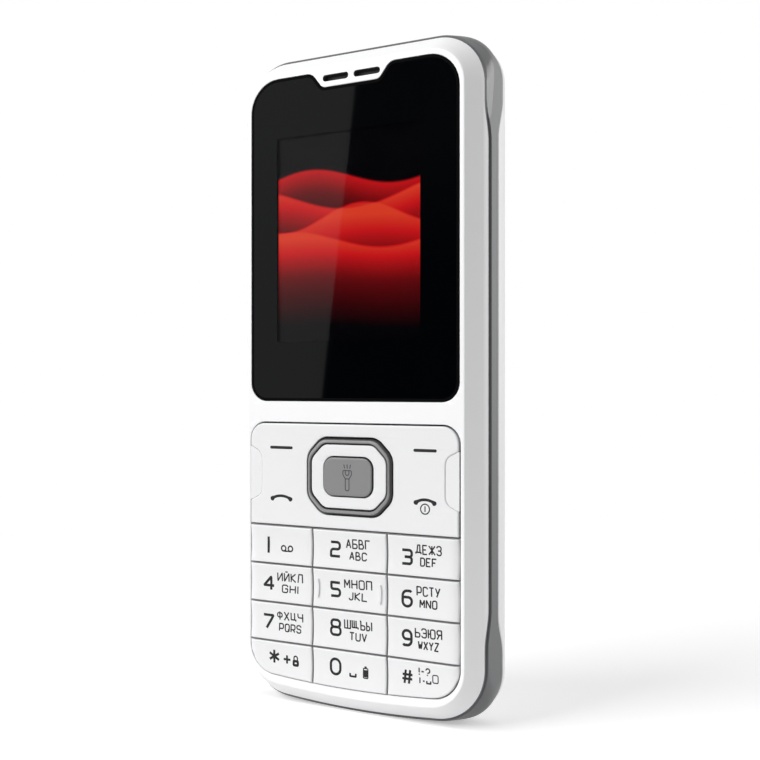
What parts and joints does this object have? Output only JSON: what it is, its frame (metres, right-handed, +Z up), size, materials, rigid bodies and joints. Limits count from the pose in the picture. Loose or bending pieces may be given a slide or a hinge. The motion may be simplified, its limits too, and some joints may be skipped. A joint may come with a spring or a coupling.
{
  "type": "feature phone",
  "caption": "Upright bar-shaped mobile phone with a display window, rocker navigation key, number keys, grey side band and lift-off back cover over a battery.",
  "frame": {"origin": "centre of the footprint, under the lowest point of the bottom end", "axes": "+Z up towards the earpiece, +Y towards the back, so the keys face -Y; +X to the right of the keys"},
  "size_m": [0.047, 0.0142, 0.112],
  "materials": {
    "white_shell": "white moulded plastic, fine satin gloss",
    "white_keys": "white moulded key plastic with dark printed legends",
    "grey_shell": "mid grey moulded plastic, fine matt texture",
    "grey_keys": "grey metallic painted plastic",
    "black_window": "clear acrylic printed black on the back, polished",
    "display": "colour display glass",
    "white_film": "white film",
    "amber_film": "amber flexible lead",
    "black_foam": "black foam and rubber",
    "dark_mesh": "dark woven mesh",
    "dark_plastic": "dark grey plastic",
    "steel": "pressed bright sheet",
    "weight": "sintered heavy metal",
    "gold": "gold plated spring metal",
    "board": "green board",
    "clear_rubber": "milky silicone rubber",
    "clear_lens": "clear moulded lens",
    "battery_wrap": "plastic wrap over a metal can"
  },
  "bodies": {
    "root": {"front_housing": "white_shell", "display_window": "black_window", "window_adhesive": "black_foam", "display_gasket": "black_foam", "lcd_glass": "display", "backlight_unit": "white_film", "lcd_flex": "amber_film", "earpiece_mesh": "dark_mesh", "earpiece_gasket": "black_foam", "earpiece_speaker": "steel", "keypad_rubber": "clear_rubber", "dome_film": "white_film", "metal_domes": "steel", "main_board": "board", "cpu_shield": "steel", "rf_shield": "steel", "sim_sockets": "steel", "card_socket": "steel", "battery_contacts": "gold", "usb_port": "steel", "audio_jack": "dark_plastic", "microphone": "steel", "microphone_boot": "black_foam", "loudspeaker": "dark_plastic", "speaker_mesh": "dark_mesh", "vibration_motor": "steel", "torch_led": "white_film", "torch_lens": "clear_lens", "antenna": "gold", "side_band": "grey_shell", "rear_housing": "dark_plastic", "housing_screws": "steel"},
    "function_rubber": {"function_rubber": "clear_rubber"},
    "function_plate": {"function_plate": "white_keys"},
    "nav_rubber": {"nav_rubber": "clear_rubber"},
    "nav_key": {"nav_pad": "white_keys", "nav_ring": "grey_keys"},
    "centre_key": {"centre_key": "grey_keys"},
    "key_1": {"key_1": "white_keys"},
    "key_2": {"key_2": "white_keys"},
    "key_3": {"key_3": "white_keys"},
    "key_4": {"key_4": "white_keys"},
    "key_5": {"key_5": "white_keys"},
    "key_6": {"key_6": "white_keys"},
    "key_7": {"key_7": "white_keys"},
    "key_8": {"key_8": "white_keys"},
    "key_9": {"key_9": "white_keys"},
    "key_star": {"key_star": "white_keys"},
    "key_0": {"key_0": "white_keys"},
    "key_hash": {"key_hash": "white_keys"},
    "motor_weight": {"motor_weight": "weight"},
    "battery": {"battery": "battery_wrap"},
    "battery_cover": {"battery_cover": "white_shell"}
  },
  "joints": [
    {"name": "function_tip", "type": "hinge", "parent": "root", "child": "function_rubber", "pos_m": [0, -0.00375, 0.03998], "axis": [1, 0, 0], "range_deg": [-1, 1], "stiffness_Nm_per_rad": 0.4},
    {"name": "function_side_rock", "type": "hinge", "parent": "function_rubber", "child": "function_plate", "pos_m": [0, -0.00375, 0.03998], "axis": [0, 0, 1], "range_deg": [-0.8, 0.8], "stiffness_Nm_per_rad": 1.5},
    {"name": "nav_tip", "type": "hinge", "parent": "root", "child": "nav_rubber", "pos_m": [0, -0.00375, 0.03998], "axis": [1, 0, 0], "range_deg": [-1.5, 1.5], "stiffness_Nm_per_rad": 0.3},
    {"name": "nav_side_rock", "type": "hinge", "parent": "nav_rubber", "child": "nav_key", "pos_m": [0, -0.00375, 0.03998], "axis": [0, 0, 1], "range_deg": [-1.5, 1.5], "stiffness_Nm_per_rad": 0.3},
    {"name": "centre_key_press", "type": "slide", "parent": "root", "child": "centre_key", "axis": [0, 1, 0], "range_m": [0, 0.00025], "stiffness_N_per_m": 2000},
    {"name": "key_1_press", "type": "slide", "parent": "root", "child": "key_1", "axis": [0, 1, 0], "range_m": [0, 0.00025], "stiffness_N_per_m": 2000},
    {"name": "key_2_press", "type": "slide", "parent": "root", "child": "key_2", "axis": [0, 1, 0], "range_m": [0, 0.00025], "stiffness_N_per_m": 2000},
    {"name": "key_3_press", "type": "slide", "parent": "root", "child": "key_3", "axis": [0, 1, 0], "range_m": [0, 0.00025], "stiffness_N_per_m": 2000},
    {"name": "key_4_press", "type": "slide", "parent": "root", "child": "key_4", "axis": [0, 1, 0], "range_m": [0, 0.00025], "stiffness_N_per_m": 2000},
    {"name": "key_5_press", "type": "slide", "parent": "root", "child": "key_5", "axis": [0, 1, 0], "range_m": [0, 0.00025], "stiffness_N_per_m": 2000},
    {"name": "key_6_press", "type": "slide", "parent": "root", "child": "key_6", "axis": [0, 1, 0], "range_m": [0, 0.00025], "stiffness_N_per_m": 2000},
    {"name": "key_7_press", "type": "slide", "parent": "root", "child": "key_7", "axis": [0, 1, 0], "range_m": [0, 0.00025], "stiffness_N_per_m": 2000},
    {"name": "key_8_press", "type": "slide", "parent": "root", "child": "key_8", "axis": [0, 1, 0], "range_m": [0, 0.00025], "stiffness_N_per_m": 2000},
    {"name": "key_9_press", "type": "slide", "parent": "root", "child": "key_9", "axis": [0, 1, 0], "range_m": [0, 0.00025], "stiffness_N_per_m": 2000},
    {"name": "key_star_press", "type": "slide", "parent": "root", "child": "key_star", "axis": [0, 1, 0], "range_m": [0, 0.00025], "stiffness_N_per_m": 2000},
    {"name": "key_0_press", "type": "slide", "parent": "root", "child": "key_0", "axis": [0, 1, 0], "range_m": [0, 0.00025], "stiffness_N_per_m": 2000},
    {"name": "key_hash_press", "type": "slide", "parent": "root", "child": "key_hash", "axis": [0, 1, 0], "range_m": [0, 0.00025], "stiffness_N_per_m": 2000},
    {"name": "motor_spin", "type": "hinge", "parent": "root", "child": "motor_weight", "pos_m": [0.009, 0.0004, 0.086], "axis": [1, 0, 0], "continuous": true},
    {"name": "battery_cover_lift", "type": "slide", "parent": "root", "child": "battery_cover", "axis": [0, 1, 0], "range_m": [0, 0.03]},
    {"name": "battery_lift", "type": "slide", "parent": "root", "child": "battery", "axis": [0, 1, 0], "range_m": [0, 0.015]}
  ],
  "couplings": [
    {"joint": "battery_lift", "follows": "battery_cover_lift", "ratio": 0.5}
  ]
}
